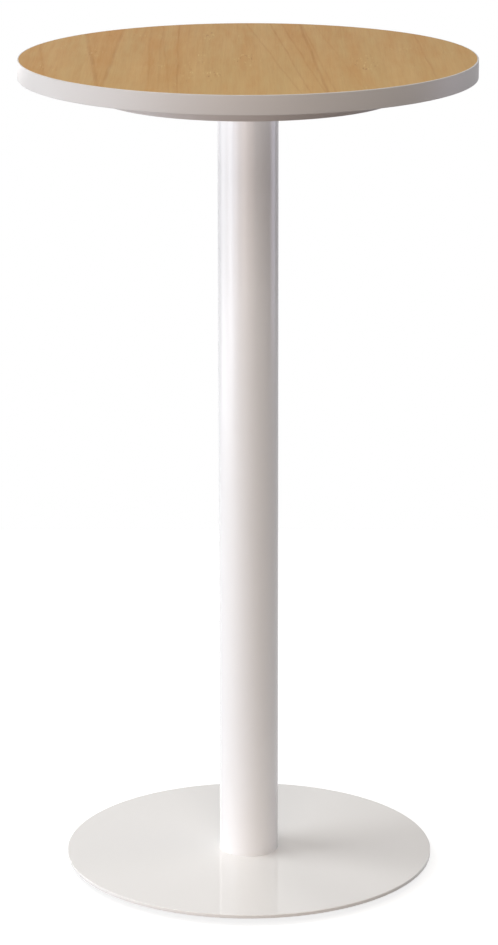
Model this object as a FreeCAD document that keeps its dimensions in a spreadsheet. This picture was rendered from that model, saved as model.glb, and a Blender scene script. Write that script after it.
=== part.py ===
"""Round standing meeting table: a wood-look top on a support disc, a steel column and a steel base.

The frame has +Z up. Its origin is on the floor, on the column's axis. Millimetres.
Every sub-part is modelled with its own lower face at z = 0 and set to its level by its Placement.
"""
import FreeCAD, Part
import Sketcher
import os

DRIVING = {
    # the whole table
    "table_height": 1110,
    "base_gap": 10,
    # tabletop board
    "top_diameter": 600,
    "top_thickness": 25,
    "top_band_thickness": 2,
    "top_edge_radius": 1,
    "laminate_thickness": 0.8,
    # support disc board
    "disc_diameter": 400,
    "disc_thickness": 25,
    "disc_band_thickness": 1,
    "disc_edge_radius": 0.5,
    # column weldment
    "column_diameter": 80,
    "column_wall": 2,
    "flange_diameter": 240,
    "flange_thickness": 5,
    "flange_edge_radius": 1,
    "flange_vent_diameter": 20,
    "plug_thickness": 12,
    "plug_clearance": 0.1,
    "plug_chamfer": 3,
    "weld_leg": 4,
    # base plate
    "base_diameter": 500,
    "base_thickness": 5,
    "base_edge_radius": 0.8,
    # screws from the support disc into the tabletop
    "disc_screw_count": 6,
    "disc_screw_inset": 40,
    "disc_screw_diameter": 4.5,
    "disc_screw_head": 8.8,
    "disc_screw_length": 40,
    "disc_screw_point": 5,
    "disc_screw_tip_diameter": 0.8,
    "disc_screw_recess": 3,
    "disc_screw_recess_depth": 1.4,
    # screws and inserts that hold the flange to the support disc
    "flange_screw_count": 6,
    "flange_screw_inset": 25,
    "flange_screw_diameter": 6,
    "flange_screw_head": 10.5,
    "flange_screw_head_height": 3.3,
    "flange_screw_crown": 6.3,
    "flange_screw_dome": 9,
    "flange_screw_dome_depth": 1,
    "flange_screw_rim": 0.8,
    "flange_screw_length": 16,
    "flange_screw_socket": 4,
    "flange_screw_socket_depth": 2,
    "flange_hole_clearance": 0.3,
    "insert_diameter": 10,
    "insert_length": 14,
    # bolts from the base plate into the foot plug
    "base_bolt_count": 4,
    "base_bolt_inset": 13,
    "base_bolt_diameter": 8,
    "base_bolt_head": 15.2,
    "base_bolt_length": 16,
    "base_bolt_socket": 5,
    "base_bolt_socket_depth": 3,
    "base_hole_clearance": 0.5,
    # fits shared by every screw
    "thread_clearance": 0.05,
    "head_clearance": 0.3,
    "point_chamfer": 0.6,
    "hole_bottom_clearance": 1,
    # levelling glides: stud on the base, nut on the stud, foot round the nut
    "glide_count": 6,
    "glide_inset": 40,
    "stud_diameter": 8,
    "stud_length": 7.5,
    "stud_collar_diameter": 10,
    "stud_collar_height": 1,
    "nut_across_flats": 17,
    "nut_head_height": 3.9,
    "nut_neck_diameter": 14,
    "nut_flange_diameter": 16,
    "nut_flange_height": 1.4,
    "nut_stop_gap": 0.3,
    "foot_diameter": 30,
    "foot_sole_diameter": 26,
    "foot_sole_height": 1.5,
    "foot_lip_diameter": 24,
    "foot_height": 4.5,
    "foot_rim_height": 3,
    "swivel_clearance": 0.05,
}

# Two lengths closer than this count as the same.
SAME_LENGTH = 1e-4

# Levels and widths that several sub-parts share, as expressions on the sheet above.
BASE_TOP = "(Sizes.base_gap + Sizes.base_thickness)"
TOP_UNDERSIDE = "(Sizes.table_height - Sizes.top_thickness)"
DISC_UNDERSIDE = f"({TOP_UNDERSIDE} - Sizes.disc_thickness)"
FLANGE_UNDERSIDE = f"({DISC_UNDERSIDE} - Sizes.flange_thickness)"
TOP_CORE_DIAMETER = "(Sizes.top_diameter - 2 * Sizes.top_band_thickness)"
DISC_CORE_DIAMETER = "(Sizes.disc_diameter - 2 * Sizes.disc_band_thickness)"
COLUMN_BORE = "(Sizes.column_diameter - 2 * Sizes.column_wall)"
DISC_SCREW_CIRCLE = "(Sizes.disc_diameter - 2 * Sizes.disc_screw_inset)"
FLANGE_SCREW_CIRCLE = "(Sizes.flange_diameter - 2 * Sizes.flange_screw_inset)"
BASE_BOLT_CIRCLE = f"({COLUMN_BORE} - 2 * Sizes.base_bolt_inset)"
GLIDE_CIRCLE = "(Sizes.base_diameter - 2 * Sizes.glide_inset)"
PLUG_DIAMETER = f"({COLUMN_BORE} - 2 * Sizes.plug_clearance)"
DISC_SCREW_HOLE = "(Sizes.disc_screw_diameter + 2 * Sizes.thread_clearance)"
DISC_SCREW_SINK = "(Sizes.disc_screw_head + 2 * Sizes.thread_clearance)"
BASE_BOLT_SINK = "(Sizes.base_bolt_head + 2 * Sizes.head_clearance)"
NUT_LEVEL = "(Sizes.foot_sole_height + Sizes.swivel_clearance)"
NUT_BORE = "(Sizes.stud_diameter + 2 * Sizes.thread_clearance)"
STUD_LEVEL = "(Sizes.base_gap - Sizes.stud_length)"
NUT_HEIGHT = f"(Sizes.base_gap - Sizes.stud_collar_height - Sizes.nut_stop_gap - {NUT_LEVEL})"

doc = FreeCAD.newDocument("standing_meeting_table")
sheet = doc.addObject("Spreadsheet::Sheet", "Sizes")
for row, (alias, number) in enumerate(DRIVING.items(), start=1):
    sheet.set(f"A{row}", alias)
    sheet.set(f"B{row}", str(number))
    sheet.setAlias(f"B{row}", alias)
doc.recompute()


def value(expression):
    """Number that an expression on the sheet gives now."""
    return float(sheet.evalExpression(expression))


def origin_feature(body, role):
    """Plane or axis of a body's own origin."""
    return next(feature for feature in body.Origin.OriginFeatures if feature.Role == role)


def new_body(label, level):
    """Empty body whose lower face will stand at the given level."""
    body = doc.addObject("PartDesign::Body", label)
    body.Label = label
    body.setExpression("Placement.Base.z", level)
    return body


def new_sketch(body, name, plane, out="0", height="0"):
    """Sketch on one of the body's origin planes, set off along X and along Z."""
    sketch = body.newObject("Sketcher::SketchObject", name)
    sketch.AttachmentSupport = [(origin_feature(body, plane), "")]
    sketch.MapMode = "FlatFace"
    sketch.setExpression("AttachmentOffset.Base.x", out)
    up = "z" if plane == "XY_Plane" else "y"
    sketch.setExpression(f"AttachmentOffset.Base.{up}", height)
    return sketch


def bind(sketch, index, name, expression):
    """Name a dimension of the sketch and tie it to the sheet."""
    sketch.renameConstraint(index, name)
    sketch.setExpression(f"Constraints.{name}", expression)


def circle_sketch(body, name, diameters, height="0"):
    """Circles of the given diameters, all centred on the body's axis."""
    sketch = new_sketch(body, name, "XY_Plane", height=height)
    for number, diameter in enumerate(diameters):
        centre = FreeCAD.Vector(0, 0, 0)
        sketch.addGeometry(Part.Circle(centre, FreeCAD.Vector(0, 0, 1), value(diameter) / 2))
        sketch.addConstraint(Sketcher.Constraint("Coincident", number, 3, -1, 1))
        size = sketch.addConstraint(Sketcher.Constraint("Diameter", number, value(diameter)))
        bind(sketch, size, f"diameter{number}", diameter)
    return sketch


def profile_sketch(body, name, corners, out="0"):
    """Closed outline in the XZ plane: each corner is (radius, height) from the turning axis."""
    sketch = new_sketch(body, name, "XZ_Plane", out=out)
    points = [FreeCAD.Vector(value(radius), value(height), 0) for radius, height in corners]
    count = len(points)
    for index, point in enumerate(points):
        sketch.addGeometry(Part.LineSegment(point, points[(index + 1) % count]))
    for index in range(count):
        sketch.addConstraint(Sketcher.Constraint("Coincident", index, 2, (index + 1) % count, 1))
    for index, (radius, height) in enumerate(corners):
        point = points[index]
        across = sketch.addConstraint(Sketcher.Constraint("DistanceX", -1, 1, index, 1, point.x))
        bind(sketch, across, f"radius{index}", radius)
        up = sketch.addConstraint(Sketcher.Constraint("DistanceY", -1, 1, index, 1, point.y))
        bind(sketch, up, f"height{index}", height)
    return sketch


def padded(body, name, diameters, thickness):
    """Disc, or ring where two diameters are given."""
    pad = body.newObject("PartDesign::Pad", name)
    pad.Profile = circle_sketch(body, f"{name}_outline", diameters)
    pad.setExpression("Length", thickness)
    doc.recompute()
    return pad


def turned(body, name, corners, out="0"):
    """Outline turned about the vertical line that stands at the distance out from the axis."""
    profile = profile_sketch(body, f"{name}_outline", corners, out)
    turn = body.newObject("PartDesign::Revolution", name)
    turn.Profile = profile
    turn.ReferenceAxis = (profile, ["V_Axis"])
    turn.Angle = 360
    doc.recompute()
    return turn


def in_a_ring(body, features, count):
    """Repeat features about the body's axis, evenly round the whole circle."""
    ring = body.newObject("PartDesign::PolarPattern", f"{features[0].Name}_ring")
    ring.Originals = features
    ring.Axis = (origin_feature(body, "Z_Axis"), [""])
    ring.Angle = 360
    ring.setExpression("Occurrences", count)
    body.Tip = ring
    doc.recompute()
    return ring


def hole_ring(body, name, circle, count, diameter, depth=None, sink=None):
    """Ring of holes drilled upwards from the lower face: through, or blind with a flat bottom.

    sink is the diameter of a 90 degree countersink where the hole starts.
    """
    place = new_sketch(body, f"{name}_place", "XY_Plane", out=f"({circle}) / 2")
    place.addGeometry(Part.Circle(FreeCAD.Vector(0, 0, 0), FreeCAD.Vector(0, 0, 1), value(diameter) / 2))
    place.addConstraint(Sketcher.Constraint("Coincident", 0, 3, -1, 1))
    size = place.addConstraint(Sketcher.Constraint("Diameter", 0, value(diameter)))
    bind(place, size, "diameter", diameter)
    doc.recompute()
    solid_before = body.Shape.Volume
    hole = body.newObject("PartDesign::Hole", name)
    hole.Profile = place
    doc.recompute()
    hole.Reversed = True
    hole.DrillPoint = "Flat"
    hole.setExpression("Diameter", diameter)
    if depth is None:
        hole.DepthType = "ThroughAll"
    else:
        hole.DepthType = "Dimension"
        hole.setExpression("Depth", depth)
    if sink is not None:
        hole.HoleCutType = "Countersink"
        hole.HoleCutCountersinkAngle = 90
        hole.setExpression("HoleCutDiameter", sink)
    doc.recompute()
    in_a_ring(body, [hole], count)
    if body.Shape.Volume >= solid_before:
        raise RuntimeError(f"{name} cut nothing from {body.Label}")


def hexagon(body, name, kind, flats, height, level="0", out="0"):
    """Hexagonal prism: kind is AdditivePrism or SubtractivePrism, flats its width across flats."""
    prism = body.newObject(f"PartDesign::{kind}", name)
    prism.Polygon = 6
    prism.AttachmentSupport = [(origin_feature(body, "XY_Plane"), "")]
    prism.MapMode = "FlatFace"
    prism.setExpression("AttachmentOffset.Base.x", out)
    prism.setExpression("AttachmentOffset.Base.z", level)
    prism.setExpression("Circumradius", f"({flats}) / sqrt(3)")
    prism.setExpression("Height", height)
    doc.recompute()
    return prism


def rims(feature, diameter, heights):
    """Names of the feature's round edges of one diameter, at the given heights above its lower face."""
    radius = value(diameter) / 2
    levels = [value(height) for height in heights]
    names = []
    for number, edge in enumerate(feature.Shape.Edges, start=1):
        if not isinstance(edge.Curve, Part.Circle):
            continue
        if abs(edge.Curve.Radius - radius) > SAME_LENGTH:
            continue
        if any(abs(edge.Curve.Center.z - level) < SAME_LENGTH for level in levels):
            names.append(f"Edge{number}")
    if not names:
        raise RuntimeError(f"{feature.Name} has no rim of diameter {2 * radius}")
    return names


def dressed(body, name, kind, feature, edges, size):
    """Round (Fillet) or chamfer (Chamfer) some edges of a feature."""
    finish = body.newObject(f"PartDesign::{kind}", name)
    finish.Base = (feature, edges)
    finish.setExpression("Radius" if kind == "Fillet" else "Size", size)
    doc.recompute()
    return finish


def edge_band(label, level, diameter, band, height, edge_radius):
    """Plastic band round a board, with both outer corners rounded."""
    body = new_body(label, level)
    ring = padded(body, "band", [diameter, f"{diameter} - 2 * {band}"], height)
    dressed(body, "rounding", "Fillet", ring, rims(ring, diameter, ["0", height]), edge_radius)
    return body


def countersunk_screw(label, level, prefix, circle, tip, taper, recess, recess_depth):
    """Ring of countersunk screws, heads down: prefix names their sizes.

    tip is the radius of the far end and taper the length over which the shank narrows to it.
    The recess for the driver is a hexagon in the head.
    """
    body = new_body(label, level)
    head = f"Sizes.{prefix}_head / 2"
    shank = f"Sizes.{prefix}_diameter / 2"
    length = f"Sizes.{prefix}_length"
    corners = [
        ("0", "0"),
        (head, "0"),
        (shank, f"{head} - {shank}"),
        (shank, f"{length} - {taper}"),
        (tip, length),
        ("0", length),
    ]
    out = f"{circle} / 2"
    screw = turned(body, "screw", corners, out)
    socket = hexagon(body, "recess", "SubtractivePrism", recess, recess_depth, out=out)
    in_a_ring(body, [screw, socket], f"Sizes.{prefix}_count")
    return body


# --- Tabletop: core, decor laminate on top, backing laminate below, band round all three -------------

LAMINATE = "Sizes.laminate_thickness"

backing = new_body("tabletop_backing_laminate", TOP_UNDERSIDE)
padded(backing, "sheet", [TOP_CORE_DIAMETER], LAMINATE)
hole_ring(backing, "screw_hole", DISC_SCREW_CIRCLE, "Sizes.disc_screw_count", DISC_SCREW_HOLE)

core = new_body("tabletop_core", f"{TOP_UNDERSIDE} + {LAMINATE}")
padded(core, "board", [TOP_CORE_DIAMETER], f"Sizes.top_thickness - 2 * {LAMINATE}")
SCREW_BITE = f"Sizes.disc_screw_length - Sizes.disc_thickness - {LAMINATE} + Sizes.hole_bottom_clearance"
hole_ring(core, "pilot_hole", DISC_SCREW_CIRCLE, "Sizes.disc_screw_count", DISC_SCREW_HOLE, SCREW_BITE)

decor = new_body("tabletop_decor_laminate", f"Sizes.table_height - {LAMINATE}")
padded(decor, "sheet", [TOP_CORE_DIAMETER], LAMINATE)

top_band = edge_band(
    "tabletop_edge_band",
    TOP_UNDERSIDE,
    "Sizes.top_diameter",
    "Sizes.top_band_thickness",
    "Sizes.top_thickness",
    "Sizes.top_edge_radius",
)

# --- Support disc: the same build, with holes for the screws and the threaded inserts ----------------

DISC_CORE_LEVEL = f"{DISC_UNDERSIDE} + {LAMINATE}"
DISC_CORE_THICKNESS = f"(Sizes.disc_thickness - 2 * {LAMINATE})"

lower_laminate = new_body("support_disc_lower_laminate", DISC_UNDERSIDE)
padded(lower_laminate, "sheet", [DISC_CORE_DIAMETER], LAMINATE)
hole_ring(
    lower_laminate, "screw_hole", DISC_SCREW_CIRCLE, "Sizes.disc_screw_count",
    DISC_SCREW_HOLE, sink=DISC_SCREW_SINK,
)
hole_ring(
    lower_laminate, "insert_hole", FLANGE_SCREW_CIRCLE, "Sizes.flange_screw_count",
    "Sizes.insert_diameter",
)

disc_core = new_body("support_disc_core", DISC_CORE_LEVEL)
padded(disc_core, "board", [DISC_CORE_DIAMETER], DISC_CORE_THICKNESS)
hole_ring(
    disc_core, "screw_hole", DISC_SCREW_CIRCLE, "Sizes.disc_screw_count",
    DISC_SCREW_HOLE, sink=f"{DISC_SCREW_SINK} - 2 * {LAMINATE}",
)
INSERT_SEAT = f"Sizes.insert_length - {LAMINATE} + Sizes.hole_bottom_clearance"
SCREW_SEAT = f"Sizes.flange_screw_length - Sizes.flange_thickness - {LAMINATE} + Sizes.hole_bottom_clearance"
hole_ring(
    disc_core, "insert_hole", FLANGE_SCREW_CIRCLE, "Sizes.flange_screw_count",
    "Sizes.insert_diameter", f"max({INSERT_SEAT}; {SCREW_SEAT})",
)

upper_laminate = new_body("support_disc_upper_laminate", f"{TOP_UNDERSIDE} - {LAMINATE}")
padded(upper_laminate, "sheet", [DISC_CORE_DIAMETER], LAMINATE)
hole_ring(upper_laminate, "screw_hole", DISC_SCREW_CIRCLE, "Sizes.disc_screw_count", DISC_SCREW_HOLE)

disc_band = edge_band(
    "support_disc_edge_band",
    DISC_UNDERSIDE,
    "Sizes.disc_diameter",
    "Sizes.disc_band_thickness",
    "Sizes.disc_thickness",
    "Sizes.disc_edge_radius",
)

disc_screws = countersunk_screw(
    "disc_screws",
    DISC_UNDERSIDE,
    "disc_screw",
    DISC_SCREW_CIRCLE,
    "Sizes.disc_screw_tip_diameter / 2",
    "Sizes.disc_screw_point",
    "Sizes.disc_screw_recess",
    "Sizes.disc_screw_recess_depth",
)

inserts = new_body("threaded_inserts", DISC_UNDERSIDE)
INSERT_BORE = "(Sizes.flange_screw_diameter / 2 + Sizes.thread_clearance)"
INSERT_RADIUS = "(Sizes.insert_diameter / 2)"
insert = turned(
    inserts,
    "insert",
    [
        (INSERT_BORE, "0"),
        (INSERT_RADIUS, "0"),
        (INSERT_RADIUS, "Sizes.insert_length - Sizes.point_chamfer"),
        (f"{INSERT_RADIUS} - Sizes.point_chamfer", "Sizes.insert_length"),
        (INSERT_BORE, "Sizes.insert_length"),
    ],
    f"{FLANGE_SCREW_CIRCLE} / 2",
)
in_a_ring(inserts, [insert], "Sizes.flange_screw_count")

# --- Column: tube, flange welded on its upper end, tapped plug welded in its lower end ---------------

flange = new_body("column_flange", FLANGE_UNDERSIDE)
FLANGE_OUTLINE = ["Sizes.flange_diameter", "Sizes.flange_vent_diameter"]
plate = padded(flange, "plate", FLANGE_OUTLINE, "Sizes.flange_thickness")
rim = rims(plate, "Sizes.flange_diameter", ["0", "Sizes.flange_thickness"])
dressed(flange, "rounding", "Fillet", plate, rim, "Sizes.flange_edge_radius")
hole_ring(
    flange, "screw_hole", FLANGE_SCREW_CIRCLE, "Sizes.flange_screw_count",
    "Sizes.flange_screw_diameter + 2 * Sizes.flange_hole_clearance",
)

flange_screws = new_body("flange_screws", f"{FLANGE_UNDERSIDE} - Sizes.flange_screw_head_height")
SCREW_HEAD = "Sizes.flange_screw_head / 2"
SCREW_SHANK = "Sizes.flange_screw_diameter / 2"
SCREW_FACE = "Sizes.flange_screw_head_height"
SCREW_END = f"({SCREW_FACE} + Sizes.flange_screw_length)"
button_screw = turned(
    flange_screws,
    "screw",
    [
        ("0", "0"),
        ("Sizes.flange_screw_crown / 2", "0"),
        ("Sizes.flange_screw_dome / 2", "Sizes.flange_screw_dome_depth"),
        (SCREW_HEAD, f"{SCREW_FACE} - Sizes.flange_screw_rim"),
        (SCREW_HEAD, SCREW_FACE),
        (SCREW_SHANK, SCREW_FACE),
        (SCREW_SHANK, f"{SCREW_END} - Sizes.point_chamfer"),
        (f"{SCREW_SHANK} - Sizes.point_chamfer", SCREW_END),
        ("0", SCREW_END),
    ],
    f"{FLANGE_SCREW_CIRCLE} / 2",
)
button_socket = hexagon(
    flange_screws, "socket", "SubtractivePrism", "Sizes.flange_screw_socket",
    "Sizes.flange_screw_socket_depth", out=f"{FLANGE_SCREW_CIRCLE} / 2",
)
in_a_ring(flange_screws, [button_screw, button_socket], "Sizes.flange_screw_count")

column = new_body("column_tube", BASE_TOP)
COLUMN_LENGTH = f"{FLANGE_UNDERSIDE} - {BASE_TOP}"
padded(column, "tube", ["Sizes.column_diameter", COLUMN_BORE], COLUMN_LENGTH)

plug = new_body("column_foot_plug", BASE_TOP)
plug_disc = padded(plug, "plug", [PLUG_DIAMETER], "Sizes.plug_thickness")
dressed(plug, "weld_chamfer", "Chamfer", plug_disc, rims(plug_disc, PLUG_DIAMETER, ["0"]), "Sizes.plug_chamfer")
hole_ring(
    plug, "tapped_hole", BASE_BOLT_CIRCLE, "Sizes.base_bolt_count",
    "Sizes.base_bolt_diameter + 2 * Sizes.thread_clearance",
)

# Two weld rings: one fills the plug's chamfer, the other the corner between tube and flange.
welds = new_body("column_welds", BASE_TOP)
turned(
    welds,
    "plug_weld",
    [
        (f"{PLUG_DIAMETER} / 2 - Sizes.plug_chamfer", "0"),
        (f"{COLUMN_BORE} / 2", "0"),
        (f"{COLUMN_BORE} / 2", "Sizes.plug_chamfer"),
        (f"{PLUG_DIAMETER} / 2", "Sizes.plug_chamfer"),
    ],
)
turned(
    welds,
    "flange_weld",
    [
        ("Sizes.column_diameter / 2", f"{COLUMN_LENGTH} - Sizes.weld_leg"),
        ("Sizes.column_diameter / 2 + Sizes.weld_leg", COLUMN_LENGTH),
        ("Sizes.column_diameter / 2", COLUMN_LENGTH),
    ],
)

# --- Base plate and the bolts that hold it to the plug ----------------------------------------------

base = new_body("base_plate", "Sizes.base_gap")
slab = padded(base, "plate", ["Sizes.base_diameter"], "Sizes.base_thickness")
base_rim = rims(slab, "Sizes.base_diameter", ["0", "Sizes.base_thickness"])
dressed(base, "rounding", "Fillet", slab, base_rim, "Sizes.base_edge_radius")
hole_ring(
    base, "bolt_hole", BASE_BOLT_CIRCLE, "Sizes.base_bolt_count",
    "Sizes.base_bolt_diameter + 2 * Sizes.base_hole_clearance", sink=BASE_BOLT_SINK,
)

base_bolts = countersunk_screw(
    "base_bolts",
    "Sizes.base_gap",
    "base_bolt",
    BASE_BOLT_CIRCLE,
    "Sizes.base_bolt_diameter / 2 - Sizes.point_chamfer",
    "Sizes.point_chamfer",
    "Sizes.base_bolt_socket",
    "Sizes.base_bolt_socket_depth",
)

# --- Levelling glides: threaded studs welded under the base, a turning nut and a sliding foot each ---

studs = new_body("glide_studs", STUD_LEVEL)
STUD_RADIUS = "(Sizes.stud_diameter / 2)"
COLLAR_FACE = "(Sizes.stud_length - Sizes.stud_collar_height)"
stud = turned(
    studs,
    "stud",
    [
        ("0", "0"),
        (f"{STUD_RADIUS} - Sizes.point_chamfer", "0"),
        (STUD_RADIUS, "Sizes.point_chamfer"),
        (STUD_RADIUS, COLLAR_FACE),
        ("Sizes.stud_collar_diameter / 2", COLLAR_FACE),
        ("Sizes.stud_collar_diameter / 2", "Sizes.stud_length"),
        ("0", "Sizes.stud_length"),
    ],
    f"{GLIDE_CIRCLE} / 2",
)
in_a_ring(studs, [stud], "Sizes.glide_count")


def place_on_glide_circle(body, angle):
    """Move a glide's piece to its place round the base."""
    for axis, ratio in (("x", "cos"), ("y", "sin")):
        body.setExpression(f"Placement.Base.{axis}", f"{GLIDE_CIRCLE} / 2 * {ratio}({angle})")


def levelling_nut(number, angle):
    """Hexagon nut with a turned neck and a flange that the foot's lip holds."""
    body = new_body(f"levelling_nut_{number}", NUT_LEVEL)
    bore = f"{NUT_BORE} / 2"
    neck = "Sizes.nut_neck_diameter / 2"
    wide = "Sizes.nut_flange_diameter / 2"
    head_level = f"({NUT_HEIGHT} - Sizes.nut_head_height)"
    corners = [
        (bore, "0"),
        (wide, "0"),
        (wide, "Sizes.nut_flange_height"),
        (neck, "Sizes.nut_flange_height"),
        (neck, head_level),
        (bore, head_level),
    ]
    turned(body, "neck", corners)
    hexagon(body, "head", "AdditivePrism", "Sizes.nut_across_flats", "Sizes.nut_head_height", head_level)
    bore_cut = body.newObject("PartDesign::Pocket", "bore")
    bore_cut.Profile = circle_sketch(body, "bore_outline", [NUT_BORE])
    bore_cut.setExpression("Length", NUT_HEIGHT)
    bore_cut.Reversed = True
    place_on_glide_circle(body, angle)
    return body


def glide_foot(number, angle):
    """Round nylon foot: a domed rim, a sole, and a pocket with an inward lip that holds the nut."""
    body = new_body(f"glide_foot_{number}", "0")
    sole = "Sizes.foot_sole_diameter / 2"
    rim_radius = "Sizes.foot_diameter / 2"
    shoulder = "Sizes.foot_lip_diameter / 2"
    pocket = "(Sizes.nut_flange_diameter / 2 + Sizes.swivel_clearance)"
    lip = "(Sizes.nut_neck_diameter / 2 + Sizes.swivel_clearance)"
    lip_level = f"({NUT_LEVEL} + Sizes.nut_flange_height + Sizes.swivel_clearance)"
    corners = [
        ("0", "0"),
        (sole, "0"),
        (rim_radius, "Sizes.foot_sole_height"),
        (rim_radius, "Sizes.foot_rim_height"),
        (shoulder, "Sizes.foot_height"),
        (lip, "Sizes.foot_height"),
        (lip, lip_level),
        (pocket, lip_level),
        (pocket, "Sizes.foot_sole_height"),
        ("0", "Sizes.foot_sole_height"),
    ]
    turned(body, "foot", corners)
    place_on_glide_circle(body, angle)
    return body


glide_total = int(value("Sizes.glide_count"))
for index in range(glide_total):
    turn_to = f"({index} * 360 deg / Sizes.glide_count)"
    levelling_nut(index + 1, turn_to)
    glide_foot(index + 1, turn_to)

# --- Checks and export -------------------------------------------------------------------------------

doc.recompute()
failed = [item.Name for item in doc.Objects if {"Invalid", "Error"} & set(item.State)]
if failed:
    raise RuntimeError(f"features failed: {failed}")

os.makedirs("parts", exist_ok=True)
for body in doc.findObjects("PartDesign::Body"):
    shape = body.Shape
    if shape.isNull() or not shape.isValid() or shape.Volume <= 0:
        raise RuntimeError(f"{body.Label} has no valid shape")
    shape.exportStep(f"parts/{body.Label}.step")
    print(f"{body.Label}: {len(shape.Solids)} solids, {shape.Volume:.1f} mm3")
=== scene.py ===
"""Round standing meeting table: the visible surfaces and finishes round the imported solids.

The file is laid out as an add-on and is run as a script. Lengths are in metres, +Z is up, the origin is on
the floor under the column, and the wood's grain runs along Y.
"""
import math

import bpy
import numpy as np
from bpy.props import FloatProperty, FloatVectorProperty, IntProperty, PointerProperty
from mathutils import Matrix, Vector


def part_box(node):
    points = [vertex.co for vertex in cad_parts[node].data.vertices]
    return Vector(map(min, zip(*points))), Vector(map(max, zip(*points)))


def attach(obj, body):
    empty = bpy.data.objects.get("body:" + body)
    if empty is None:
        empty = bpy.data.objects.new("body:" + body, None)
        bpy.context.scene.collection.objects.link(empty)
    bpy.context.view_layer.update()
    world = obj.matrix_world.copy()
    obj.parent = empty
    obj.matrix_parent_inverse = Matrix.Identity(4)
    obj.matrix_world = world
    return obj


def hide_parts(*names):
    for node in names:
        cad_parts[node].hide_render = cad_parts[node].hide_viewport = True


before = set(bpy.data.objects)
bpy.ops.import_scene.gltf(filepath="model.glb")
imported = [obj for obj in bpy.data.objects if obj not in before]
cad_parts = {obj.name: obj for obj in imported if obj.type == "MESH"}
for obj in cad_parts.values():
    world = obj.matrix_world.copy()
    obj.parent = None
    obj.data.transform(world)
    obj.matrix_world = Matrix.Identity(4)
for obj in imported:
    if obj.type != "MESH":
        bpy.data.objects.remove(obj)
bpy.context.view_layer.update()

bl_info = {
    "name": "Standing Meeting Table",
    "version": (1, 0, 0),
    "blender": (4, 5, 0),
    "location": "View3D > Sidebar > Table",
    "description": "Builds the surfaces, finishes and studio of a round standing meeting table",
    "category": "Object",
}

MM = 0.001
TURN = 2 * math.pi
BACK = math.pi / 2       # angle of the back about the column, where +X is 0
WHITE = (1.0, 1.0, 1.0, 1.0)
BLACK = (0.0, 0.0, 0.0, 1.0)


def radius_of(node):
    """Outer radius of a solid, or of a ring of solids, about the column's axis."""
    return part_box(node)[1][0]


def levels_of(node):
    """Lowest and highest level of a solid."""
    low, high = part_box(node)
    return low[2], high[2]


# --- Settings ----------------------------------------------------------------------------------------


def number(name, description, default, **options):
    """A plain number."""
    return FloatProperty(name=name, description=description, default=default, **options)


def length(name, description, millimetres):
    """A length, given in mm and kept in metres."""
    return number(name, description, millimetres * MM, unit="LENGTH")


def rotation(name, description, radians):
    """An angle."""
    return number(name, description, radians, unit="ROTATION")


def tint(name, description, colour):
    """A colour, as red, green and blue light."""
    return FloatVectorProperty(name=name, description=description, default=colour, subtype="COLOR")


class TableTopSettings(bpy.types.PropertyGroup):
    """Sizes and colours of the tabletop and of the support disc."""

    segments: IntProperty(name="Segments", description="Steps round each board", default=360, min=48)
    edge_radius: length("Edge radius", "Rounding of the tabletop's edge band", 1.0)
    disc_edge_radius: length("Disc edge radius", "Rounding of the support disc's edge band", 0.5)
    sheet_edge: length("Sheet edge", "Rounding where the wood-look sheet meets its edge band", 0.15)
    seam_width: length("Seam width", "Width of the edge band's butt seam at the back", 0.25)
    seam_depth: length("Seam depth", "Depth of the edge band's butt seam", 0.12)
    wood_light: tint("Light wood", "Yellowish wood between the warm bands", (0.487, 0.303, 0.120))
    wood_cool: tint("Cool wood", "Duller wood between the warm bands", (0.449, 0.294, 0.115))
    wood_warm: tint("Warm wood", "Reddish wood in the bands", (0.425, 0.215, 0.057))
    wood_dark: tint("Dark grain", "Late wood lines and pores", (0.234, 0.097, 0.020))
    wood_fleck: tint("Flecks", "Pale flecks", (0.585, 0.441, 0.205))
    # Painted light: the tone that the decor is mixed towards, more towards the front and the right, in place
    # of the lamps' light on the top.
    wood_painted_light: tint("Pale wood", "What the decor's tone drifts towards", (0.751, 0.543, 0.270))
    edging: tint("Edging", "White of the tabletop's edge band", (0.593, 0.575, 0.566))
    # The support disc's band is the same white edging as the tabletop's. Its darker, warmer colour is painted
    # shade from the tabletop's overhang.
    shaded_disc_edging: tint("Disc edging", "White of the support disc's edge band", (0.455, 0.415, 0.398))
    laminate: tint("Laminate", "White of the backing laminates", (0.74, 0.74, 0.73))
    chip: tint("Particleboard", "Raw particleboard", (0.45, 0.31, 0.18))


class MetalworkSettings(bpy.types.PropertyGroup):
    """Sizes and colours of the column and the base."""

    segments: IntProperty(name="Segments", description="Steps round the column", default=256, min=48)
    bead_bulge: length("Bead bulge", "Height of the weld bead's crown", 0.45)
    bead_pitch: length("Bead pitch", "Length of one ripple of the weld bead", 2.6)
    plug_weld: length("Plug weld", "Width of the weld round the foot plug", 3.0)
    column_powder: tint("Column", "White of the column's powder coat", (0.888, 0.890, 0.902))
    base_powder: tint("Base", "White of the base's powder coat", (0.862, 0.852, 0.840))
    zinc: tint("Zinc", "Zinc plating", (0.60, 0.62, 0.65))
    brass: tint("Brass", "Turned brass", (0.68, 0.48, 0.20))
    nylon: tint("Nylon", "Natural nylon of the feet", (0.70, 0.69, 0.65))


class FlangeScrewSettings(bpy.types.PropertyGroup):
    """Button head screws that hold the flange to the support disc."""

    head: length("Head", "Width of the head", 10.5)
    head_height: length("Head height", "Height of the head", 3.3)
    crown: length("Crown", "Width of the head's flat crown", 6.3)
    rim: length("Rim", "Height of the head's upright rim", 0.8)
    shank: length("Shank", "Width over the thread", 6.0)
    pitch: length("Pitch", "Pitch of the thread", 1.0)
    reach: length("Length", "Length under the head", 16.0)
    socket: length("Socket", "Width across the socket's flats", 4.0)
    socket_depth: length("Socket depth", "Depth of the socket", 2.0)


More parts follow.
